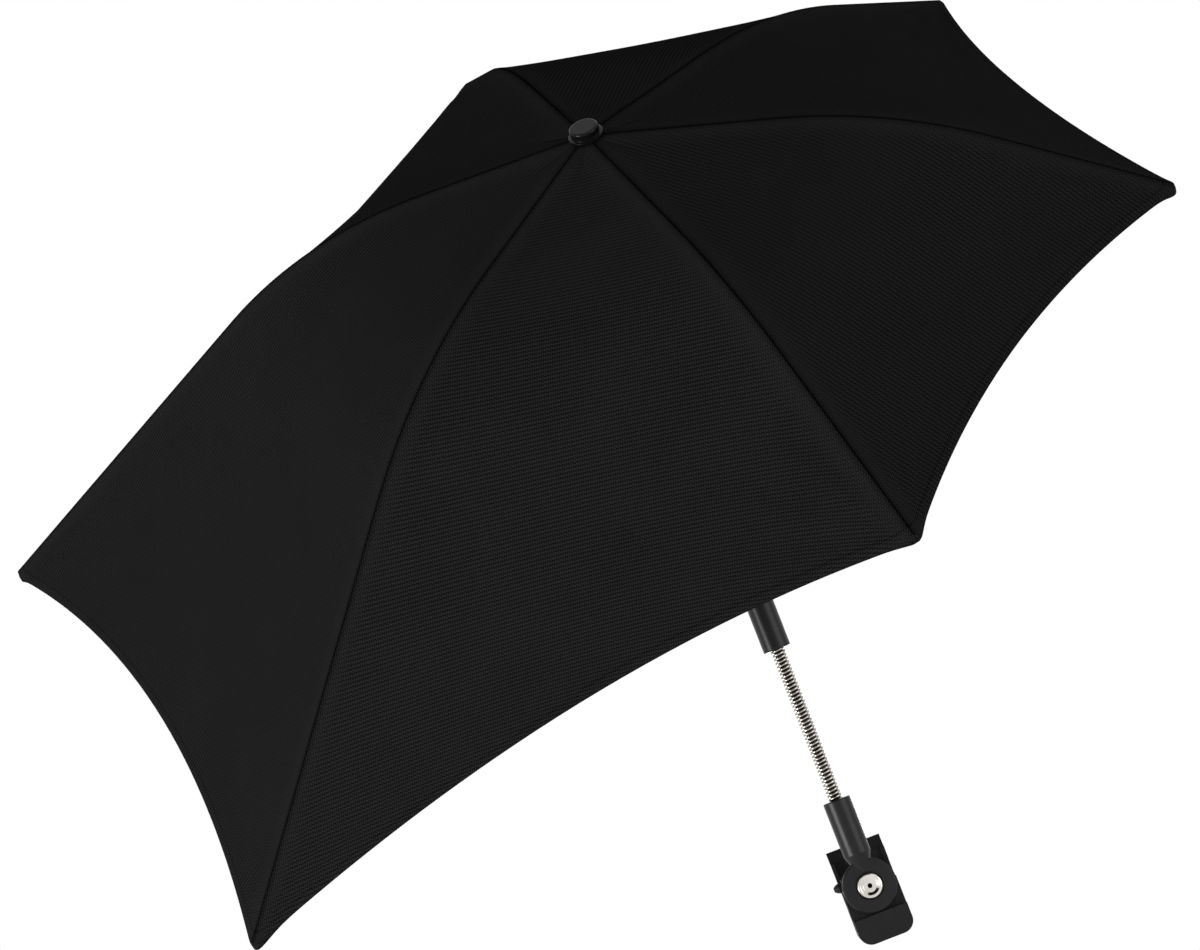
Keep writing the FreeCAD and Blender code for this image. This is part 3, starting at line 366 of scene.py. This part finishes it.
def bright_metal(name, dark, light, rough, edge):
    """Metal with marks along its length, an uneven polish and painted shade that darkens its gaps."""
    material, node = empty_material(name)
    place = node("ShaderNodeTexCoord").outputs["Object"]
    drawn = node("ShaderNodeMapping", {
        "Vector": place, "Scale": (1 / MARK_WIDTH, 1 / MARK_WIDTH, 1 / MARK_LENGTH)})
    marks = node("ShaderNodeTexNoise", {"Vector": drawn, "Scale": 1.0, "Detail": 3.0})
    broad = node("ShaderNodeTexNoise", {"Vector": place, "Scale": 1 / MARK_LENGTH, "Detail": 3.0})
    tint = node("ShaderNodeMix", {
        "Factor": broad, "A": linear(dark), "B": linear(light)}, data_type="RGBA")
    # Painted shade: where Ambient Occlusion finds the surface closed in, the colour turns to a near black.
    open_sky = node("ShaderNodeAmbientOcclusion", {"Distance": GAP_REACH}, samples=8).outputs["AO"]
    unshaded = node("ShaderNodeMapRange", {"Value": open_sky, "From Min": 0.25, "From Max": 0.85})
    colour = node("ShaderNodeMix", {
        "Factor": unshaded, "A": linear("#0c0b0b"), "B": tint}, data_type="RGBA")
    uneven = node("ShaderNodeMath", {
        0: marks, 1: UNEVEN_POLISH, 2: rough - UNEVEN_POLISH / 2}, operation="MULTIPLY_ADD")
    soft = node("ShaderNodeBevel", {"Radius": edge}, samples=4)
    bump = node("ShaderNodeBump", {
        "Height": marks, "Distance": 0.02 * MM, "Strength": 0.4, "Normal": soft})
    shader = node("ShaderNodeBsdfPrincipled", {
        "Base Color": colour, "Roughness": uneven, "Metallic": 1.0, "Normal": bump})
    node("ShaderNodeOutputMaterial", {"Surface": shader})
    return material


print("drawing marks", round(MARK_WIDTH / MM, 1), "mm wide and", round(MARK_LENGTH / MM, 1), "mm long")

# %% Four metals
# Warm and bright on the crown of each turn, with painted shade near black between the turns.
COIL_STEEL = bright_metal("steel_nickel_flash", "#8a867e", "#c6c2b8", rough=0.2, edge=0.2 * MM)
# The brightest spot of the parasol: its dished head mirrors the room, with painted shade in the groove
# round the dish.
RIVET_STEEL = bright_metal("steel_nickel_polished", "#bcb8b0", "#efece6", rough=0.15, edge=0.4 * MM)
# Bare drawn wire: a duller grey than the plated pieces.
SPRING_STEEL = bright_metal("steel_drawn", "#8a8884", "#b5b3af", rough=0.3, edge=0.2 * MM)
# Coloured near black as painted shade, so the core reads as the shadow behind the coil.
CORE_STEEL = bright_metal("steel_oiled", "#191817", "#2f2e2c", rough=0.5, edge=0.2 * MM)
print("four metals, from oiled to polished")

# %% [markdown]
# ## Dress the solids
#
# The record gives each solid the name of a finish. Each piece could be dressed by a line of its own. A
# table from those names to the materials dresses them all at once, and a piece added to the model later
# gets its finish without a new line here.

# %% Give each solid its finish
SURFACES = {
    "canopy_cloth": CLOTH, "cap_black": CAP_GLOSS, "knuckle_black": KNUCKLE_SATIN,
    "clamp_black": CLAMP_GRAIN, "hub_black": HUB_SATIN, "grip_rubber": PAD_RUBBER,
    "shaft_metal": SHAFT_PAINT, "rib_metal": RIB_PAINT, "gooseneck_metal": COIL_STEEL,
    "rivet_metal": RIVET_STEEL, "spring_steel": SPRING_STEEL,
}
for part in frame["record"]["subparts"]:
    piece = NODES[part["node"]]
    piece.data.materials.clear()
    piece.data.materials.append(SURFACES[part["material_slot"]])

# %% [markdown]
# ## The canopy's surface
#
# Six panels are sewn edge to edge along the ribs and pulled tight. A cloth simulation would find that
# surface, but tight cloth between two curves is simple enough to write down: straight across from rib to
# rib, hollowed a little, with a hem that curves in towards the cap.

# %% A point of the cloth
CLOTH_LIFT = 2.6 * MM
CLOTH_INNER = 6.6 * MM
CLOTH_PAST_RIB = 5.0 * MM
RIDGE = 1.33 * MM
SAG = 0.012
HEM_CURVE = 0.075


def edge_point(i, share):
    """A point of the cloth over rib i, share of the way from the cap to the hem."""
    first = (CLOTH_INNER - PIVOT_R) / math.cos(RIB_SLOPE)
    s = first + (RIBS[i % COUNT][0] + CLOTH_PAST_RIB - first) * share
    return rib_point(i, s, CLOTH_LIFT + RIDGE * math.sin(RIB_SLOPE + rib_turn(i, s)))


def panel_point(i, share, across):
    """A point of panel i, with across 0 on rib i and 1 on the next rib."""
    left, right = edge_point(i, share), edge_point(i + 1, share)
    inner = share * (1 - HEM_CURVE * share * share)
    hollow = (edge_point(i, inner) + edge_point(i + 1, inner)) / 2
    hollow -= UP * (SAG * (right - left).length)
    bulge = hollow - (left + right) / 2
    return left.lerp(right, across) + bulge * (4 * across * (1 - across))


SPANS = [(edge_point(i + 1, 1.0) - edge_point(i, 1.0)).length for i in range(COUNT)]
print("tip to tip, mm:", [round(span / MM) for span in SPANS])

# %% [markdown]
# ## Round tips and small folds
#
# At each rib's end the hem turns round the tip in a small arc that meets both hems smoothly. Where the
# six points of cloth are gathered under the cap, the panels swell beside their seams, and small folds fan
# out from the tips. Sculpting them by hand would not follow a change of rib. They are a millimetre or two
# high, so a formula adds them to the surface as a lift.

# %% Seams, gathers and folds
SEAM_RISE = 0.6 * MM
SEAM_SPREAD = 6 * MM
GATHER = 1.3 * MM
GATHER_AT = 24 * MM
GATHER_LONG = 16 * MM
GATHER_WIDE = 9 * MM
TIP_FOLD = 0.7 * MM
TIP_FOLD_REACH = 80 * MM
TIP_FOLD_FROM = 12 * MM
TIP_FOLDS = 14


def cloth_lift(from_cap, from_tip, y):
    """Height of the seam, the gathers at the cap and the folds at the tip, at y from the seam."""
    seam = SEAM_RISE * math.exp(-(y / SEAM_SPREAD) ** 2)
    swell = y / GATHER_WIDE * math.exp(1 - y / GATHER_WIDE)
    gather = GATHER * math.exp(-((from_cap - GATHER_AT) / GATHER_LONG) ** 2) * swell
    fan = math.cos(TIP_FOLDS * math.atan2(y, max(from_tip, 1 * MM))) * min(1.0, y / TIP_FOLD_FROM)
    fold = TIP_FOLD * math.exp(-math.hypot(from_tip, y) / TIP_FOLD_REACH) * fan
    return seam + gather + fold


print("a gather is at most", round(cloth_lift(GATHER_AT, 1.0, GATHER_WIDE) / MM, 1), "mm high")

# %% Round tips
TIP_BACK = 3.0 * MM
HEM_STEP = 0.01
RIB_STEP = 0.02


def tip_cut(y, angle):
    """How far the round tip stands back at y from the rib, for a hem at this angle to the rib."""
    radius = TIP_BACK / (1 / math.sin(angle) - 1)
    if y >= radius * math.cos(angle):
        return 0.0
    return radius / math.sin(angle) - math.sqrt(radius ** 2 - y * y) - y / math.tan(angle)


def hem_angle(i, rib, right):
    """The angle between rib and hem at the tip of a half panel."""
    tip = edge_point(rib, 1.0)
    hem = panel_point(i, 1.0, 1 - HEM_STEP if right else HEM_STEP) - tip
    return hem.angle(edge_point(rib, 1 - RIB_STEP) - tip)


HEM_ANGLES = [hem_angle(i, i, False) for i in range(COUNT)]
print("hem to rib, degrees:", [round(math.degrees(a)) for a in HEM_ANGLES])

# %% [markdown]
# ## Half panels
#
# When the parasol folds, each rib takes its own strip of cloth along and the middle of a panel hangs
# between two of them. A panel as one piece could follow only one rib. So each is made as two halves that
# meet on its middle line, and each half goes with its own rib. A half is a grid of points from the seam
# to the middle and from the cap to the hem, with four more rows that turn the hem under. At the tip those
# rows reach lower, as a pocket round the rib's shoe.

# %% The turned hem
# Each row under the hem: its depth and its inset in mm, and its share of the pocket's depth.
HEM_TURN = ((0.5, -0.4, 0.4), (1.1, 0.0, 0.9), (1.2, 4.0, 1.0), (1.0, 8.0, 0.9))
POCKET = 5.5
POCKET_WIDE = 9 * MM
HEM_RUN = 4.0
# Rows under the hem count as far from seam and hem, so they get no sewing marks.
UNDER_OFF_SEAM = 20 * MM
UNDER_OFF_HEM = 40 * MM


def turned_hem(column, y):
    """The rows that turn a column's end under, at y from the rib."""
    edge, u, v, off_seam, _ = column[-1]
    inward = (column[-3][0] - edge).normalized()
    pocket = POCKET * math.exp(-(y / POCKET_WIDE) ** 2)
    rows = []
    for depth, inset, around in HEM_TURN:
        under = edge + inward * (inset * MM) - UP * ((depth + pocket * around) * MM)
        rows.append((under, u, v + (HEM_RUN + inset) * MM, off_seam + UNDER_OFF_SEAM, UNDER_OFF_HEM))
    return rows


print("the hem turns under in", len(HEM_TURN), "rows, with a pocket", POCKET, "mm deep at each tip")

# %% The grid of a half panel
ROWS = 72
COLUMNS = 28
CROWDING = 1.9


def half_grid(i, right):
    """Columns of (point, u, v, distance to seam, distance to hem), crowded towards the seam."""
    rib = (i + 1) % COUNT if right else i
    length = RIBS[rib][0]
    angle = hem_angle(i, rib, right)
    columns = []
    for c in range(COLUMNS + 1):
        spread = 0.5 * (c / COLUMNS) ** CROWDING
        across = 1 - spread if right else spread
        y = (panel_point(i, 1.0, across) - edge_point(rib, 1.0)).length * math.sin(angle)
        end = 1.0 - tip_cut(y, angle) / length
        column = []
        for r in range(ROWS + 1):
            share = end * r / ROWS
            point = panel_point(i, share, across)
            off_seam = (point - edge_point(rib, share)).length
            middle = (panel_point(i, share, 0.5) - point).length * (-1 if right else 1)
            fade = 1 - (2 * spread) ** 4
            lift = cloth_lift(share * length, (1 - share) * length, off_seam) * fade
            run = share * (RIBS[i][0] * (1 - across) + RIBS[(i + 1) % COUNT][0] * across)
            column.append((point + UP * lift, middle, run, off_seam, (end - share) * length))
        columns.append(column + turned_hem(column, y))
    return columns


print("a half panel has", (COLUMNS + 1) * (ROWS + 1 + len(HEM_TURN)), "points")

# %% [markdown]
# ## Cut and sew
#
# Cloth is cut from a roll, so its weave has a direction. The grid becomes a mesh with its weave
# coordinates and its two distances. One of the two wide panels beside the front is cut across the cloth,
# so its ribs run level, while the others are cut along it. Unwrapping each panel by hand would give the
# same coordinates, only with more work: the grid already knows how far each point is from the middle line
# and from the cap.

# %% The mesh of a half panel
ACROSS_CUT = {0}


def half_mesh(i, right):
    """Half of panel i as a smooth mesh: the one on rib i, or the right one on the next rib."""
    columns = half_grid(i, right)
    flat = [entry for column in columns for entry in column]
    count = len(columns[0])
    faces = []
    for c in range(COLUMNS):
        for r in range(count - 1):
            quad = [c * count + r, c * count + r + 1, (c + 1) * count + r + 1, (c + 1) * count + r]
            faces.append(quad[::-1] if right else quad)
    mesh = bpy.data.meshes.new(f"panel_{i + 1}_{'b' if right else 'a'}")
    mesh.from_pydata([entry[0] for entry in flat], [], faces)
    mesh.polygons.foreach_set("use_smooth", [True] * len(faces))
    if sum((p.normal * p.area for p in mesh.polygons), Vector()).dot(UP) < 0:
        mesh.flip_normals()
    weave = mesh.uv_layers.new(name="cloth")
    for loop in mesh.loops:
        u, v = flat[loop.vertex_index][1:3]
        weave.data[loop.index].uv = (v, u) if i in ACROSS_CUT else (u, v)
    for name, k in (("seam_m", 3), ("hem_m", 4)):
        values = [entry[k] for entry in flat]
        mesh.attributes.new(name, "FLOAT", "POINT").data.foreach_set("value", values)
    mesh.materials.append(CLOTH)
    return mesh


print("cut across the cloth:", [f"panel_{i + 1}" for i in ACROSS_CUT])

# %% [markdown]
# ## How far the cloth gathers
#
# As the canopy folds, slack cloth hangs in pleats between the ribs. Simulating that at every pose would be
# slow. How narrow a half could gather follows from the rib: the halves of a panel should still meet a
# little past the rib's middle, and a folded rib lies nearer the shaft there. Here that share is worked out
# for each rib and printed.

# %% The folded share
FOLDED_SLOPE = RIB_SLOPE + math.radians(JOINTS["fold"]["range_deg"][1])
MEET_AT = 0.6


def folded_share(rib):
    """How near the shaft a folded rib lies where its halves meet, as a share of how far it lies open."""
    run = RIBS[rib][0] * MEET_AT
    opened, folded = (
        (rib_point(rib, run, 0.0, slope) - HUB).dot(OUT[rib]) for slope in (RIB_SLOPE, FOLDED_SLOPE))
    return folded / opened


print("folded share:", [round(folded_share(rib), 2) for rib in range(COUNT)])

# %% [markdown]
# ## Twelve halves on six ribs
#
# On the parasol the seams are tacked to the ribs, so a half must go where its rib goes. Parenting it to
# the rib would do for one pose. Riding on the rib's body carries it through all of them.


def hang_half(i, right):
    """Puts half a panel on its rib's body in place of the model's plain panel."""
    rib = (i + 1) % COUNT if right else i
    mesh = half_mesh(i, right)
    piece = bpy.data.objects.new(mesh.name, mesh)
    SCENE.collection.objects.link(piece)
    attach(piece, f"rib_{rib + 1}")
    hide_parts(f"canopy_panel_{i + 1}")
    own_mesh(piece)
    width = (panel_point(i, 1.0, 0.5) - edge_point(rib, 1.0)).length
    return piece


HALVES = [hang_half(panel, right) for panel in range(COUNT) for right in (False, True)]
print(len(HALVES), "half panels,", sum(len(half.data.polygons) for half in HALVES), "faces")

# %% [markdown]
# ## A wire
#
# The gooseneck's coil is one drawn wire, and its core is a plain rod. A curve with a round bevel would
# draw both, but has to be turned into a mesh before it can bend. A ring of points carried along a path
# gives the mesh at once, with even faces.

# %% A tube along a path
def tube(name, path, radius, sides, surface):
    """A tube along a list of points, with its ends left open."""
    points, faces = [], []
    side = (path[1] - path[0]).orthogonal().normalized()
    for k, p in enumerate(path):
        along = (path[min(k + 1, len(path) - 1)] - path[max(k - 1, 0)]).normalized()
        side = (side - along * side.dot(along)).normalized()
        other = along.cross(side)
        for j in range(sides):
            a = 2 * math.pi * j / sides
            points.append(p + (side * math.cos(a) + other * math.sin(a)) * radius)
            if k:
                n = (j + 1) % sides
                low, high = (k - 1) * sides, k * sides
                faces.append((low + j, low + n, high + n, high + j))
    mesh = bpy.data.meshes.new(name)
    mesh.from_pydata(points, [], faces)
    mesh.polygons.foreach_set("use_smooth", [True] * len(faces))
    mesh.materials.append(surface)
    piece = bpy.data.objects.new(name, mesh)
    SCENE.collection.objects.link(piece)
    return piece


CORE_LOW, CORE_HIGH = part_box("gooseneck_core")
CORE_R = (CORE_HIGH[0] - CORE_LOW[0]) / 2
print("the core is", round(2 * CORE_R / MM, 1), "mm thick")

# %% [markdown]
# ## The gooseneck's coil
#
# The wire is wound right-handed over the core in 46 turns, with gaps that let it bend. Stacked rings
# would look alike from afar, but a wound wire has no closed turn. So the path climbs by one pitch for
# each turn round the axis, which the core's own box gives.

# %% The coil's and the core's paths
AXIS_X, AXIS_Y, MIDDLE_Z = (CORE_LOW + CORE_HIGH) / 2
WIRE = 1.9 * MM
COIL_OUTSIDE = 4.8 * MM
COIL_PITCH = 2.5 * MM
COIL_TURNS = 46
STEPS = 24
CORE_STEPS = 40


def on_axis(z):
    """A point of the gooseneck's axis."""
    return Vector((AXIS_X, AXIS_Y, z))


def coil_path(first, last):
    """The wire's middle from one turn to another."""
    reach = COIL_OUTSIDE - WIRE / 2
    path = []
    for k in range(first * STEPS, last * STEPS + 1):
        a = 2 * math.pi * k / STEPS
        z = MIDDLE_Z + COIL_PITCH * (k / STEPS - COIL_TURNS / 2)
        path.append(on_axis(z) + Vector((math.cos(a), math.sin(a), 0.0)) * reach)
    return path


def core_path(low, high):
    """Points up the axis between two heights."""
    return [on_axis(low + (high - low) * k / CORE_STEPS) for k in range(CORE_STEPS + 1)]


print("coil:", COIL_TURNS, "turns,", round(COIL_TURNS * COIL_PITCH / MM), "mm long")

# %% [markdown]
# ## A stalk that bends
#
# The stalk bends where a hand bends it. The joint model bends it in two places, so coil and core are made
# in halves: the lower one runs from the lower knuckle to the neck, the upper one from the neck to the
# upper knuckle.

# %% Wind the halves
FREE_HALF = 52.5 * MM
HALF_TURNS = COIL_TURNS // 2
WIRE_SIDES = 10
CORE_SIDES = 20
LOWER = ("knuckle_low", "neck", MIDDLE_Z - FREE_HALF, MIDDLE_Z)
UPPER = ("neck", "knuckle_high", MIDDLE_Z, MIDDLE_Z + FREE_HALF)


def bend_half(piece, body_a, body_b, low, high, node, slot):
    """Bakes a half's place into its mesh and hides the model's piece that it stands for."""
    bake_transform(piece)
    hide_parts(node)


for name, path, ends in (("coil_lower", coil_path(0, HALF_TURNS), LOWER),
                         ("coil_upper", coil_path(HALF_TURNS, COIL_TURNS), UPPER)):
    wire = tube(name, path, WIRE / 2, WIRE_SIDES, COIL_STEEL)
    bend_half(wire, *ends, "gooseneck_coil", "gooseneck_metal")
for name, path, ends in (("core_lower", core_path(CORE_LOW[2], MIDDLE_Z), LOWER),
                         ("core_upper", core_path(MIDDLE_Z, CORE_HIGH[2]), UPPER)):
    rod = tube(name, path, CORE_R, CORE_SIDES, CORE_STEEL)
    bend_half(rod, *ends, "gooseneck_core", "spring_steel")
print("coil and core wound in two halves each")

# %% [markdown]
# ## A white room
#
# The parasol stands in a bright white studio. A white background could come from strong lamps, but those
# would bleach the black cloth. Instead the room is white only to the eye and in reflections, which Light
# Path tells apart, and gives a plain level of light to everything else.

# %% Rays that see the room
def seen(node):
    """1 for rays from the camera, from a mirror or through glass, and 0 for light on a surface."""
    rays = node("ShaderNodeLightPath").outputs
    most = rays["Is Camera Ray"]
    for name in ("Is Glossy Ray", "Is Transmission Ray"):
        most = node("ShaderNodeMath", {0: most, 1: rays[name]}, operation="MAXIMUM").outputs[0]
    return most


ROOM_LIGHT = 0.4
world = bpy.data.worlds.new("white_room")
world.use_nodes = True
world.node_tree.nodes.clear()
room = partial(add, world.node_tree)
level = room("ShaderNodeMix", {"Factor": seen(room), "A": ROOM_LIGHT, "B": 1.0})
sky = room("ShaderNodeBackground", {"Color": linear("#ffffff"), "Strength": level})
room("ShaderNodeOutputWorld", {"Surface": sky})
SCENE.world = world
print("the room gives", ROOM_LIGHT, "of white light")

# %% [markdown]
# ## The paper floor
#
# The parasol is clipped high on a pram, so the floor lies well below the clamp. It is a roll of matt
# white paper. Plain white paper would show the lamps' edges as grey, so to the eye it glows a little, as
# the room does, and on the cloth it works as paper: it throws soft light up.

# %% Floor
FLOOR_DROP = 0.8
FLOOR_HALF = 6.0
FLOOR_GLOW = 0.86


def paper_floor():
    """A sheet of paper under the parasol, as stage."""
    material, node = empty_material("paper_matt")
    to_eye = seen(node)
    glow = node("ShaderNodeMath", {0: to_eye, 1: FLOOR_GLOW}, operation="MULTIPLY")
    paper = node("ShaderNodeMix", {
        "Factor": to_eye, "A": linear("#f4f4f2"), "B": linear("#808080")}, data_type="RGBA")
    shader = node("ShaderNodeBsdfPrincipled", {
        "Base Color": paper, "Roughness": 0.9, "Specular IOR Level": 0.1,
        "Emission Color": linear("#ffffff"), "Emission Strength": glow})
    node("ShaderNodeOutputMaterial", {"Surface": shader})
    corners = [(x * FLOOR_HALF, y * FLOOR_HALF, 0.0) for x, y in ((-1, -1), (1, -1), (1, 1), (-1, 1))]
    mesh = bpy.data.meshes.new("floor")
    mesh.from_pydata(corners, [], [(0, 1, 2, 3)])
    mesh.materials.append(material)
    sheet = bpy.data.objects.new("floor", mesh)
    sheet.location.z = cad_box[0][2] - FLOOR_DROP
    SCENE.collection.objects.link(sheet)
    return sheet


print("floor at", round(paper_floor().location.z, 3))

# %% [markdown]
# ## Lamps
#
# Soft round lamps light the cloth from the front, a strong one on the camera's left and a weak one on its
# right, so the front panels stand out from the ones behind the peak. One lamp above would light the far
# panels most. A third, low behind, reaches the inside of the canopy.

# %% Three soft lamps
LIT_POINT = Vector((0.0, -0.2, 0.33))


def soft_lamp(name, place, size, watts):
    """A round lamp of the given size that faces the canopy."""
    light = bpy.data.lights.new(name, "AREA")
    light.shape = "DISK"
    light.size = size
    light.energy = watts
    lamp = bpy.data.objects.new(name, light)
    lamp.location = place
    lamp.rotation_euler = (LIT_POINT - Vector(place)).to_track_quat("-Z", "Y").to_euler()
    SCENE.collection.objects.link(lamp)
    return lamp


LAMPS = [
    soft_lamp("key", (-2.8, -1.7, 0.1), size=1.4, watts=84.0),
    soft_lamp("fill", (2.4, -2.1, 0.0), size=2.4, watts=38.0),
    soft_lamp("under", (0.4, 2.4, -0.3), size=1.2, watts=25.0),
]
print("lamps:", [lamp.name for lamp in LAMPS])

# %% [markdown]
# ## Camera
#
# The camera stands level with the gooseneck, three metres back with a long lens, so the canopy keeps its
# shape. A wide lens from nearby would swell the near tips. The stalk leans in the picture, which comes
# from rolling the camera and not from tipping the parasol.

# %% Place the camera
CAMERA_AT = Vector((-0.0758, -2.9878, 0.1372))
CAMERA_AIM = Vector((-0.0671, -0.2139, 0.3211))
CAMERA_ROLL = math.radians(-21.26)
SENSOR = 36.0
LENS = 136.8

camera = bpy.data.cameras.new("camera")
camera.sensor_width = SENSOR
camera.lens = LENS
eye = bpy.data.objects.new("camera", camera)
aim = (CAMERA_AIM - CAMERA_AT).to_track_quat("-Z", "Y").to_matrix()
rolled = aim @ Matrix.Rotation(CAMERA_ROLL, 3, "Z")
eye.matrix_world = Matrix.Translation(CAMERA_AT) @ rolled.to_4x4()
SCENE.collection.objects.link(eye)
SCENE.camera = eye
SCENE.view_settings.view_transform = "Standard"
print("camera", round((CAMERA_AIM - CAMERA_AT).length, 2), "m from the parasol")
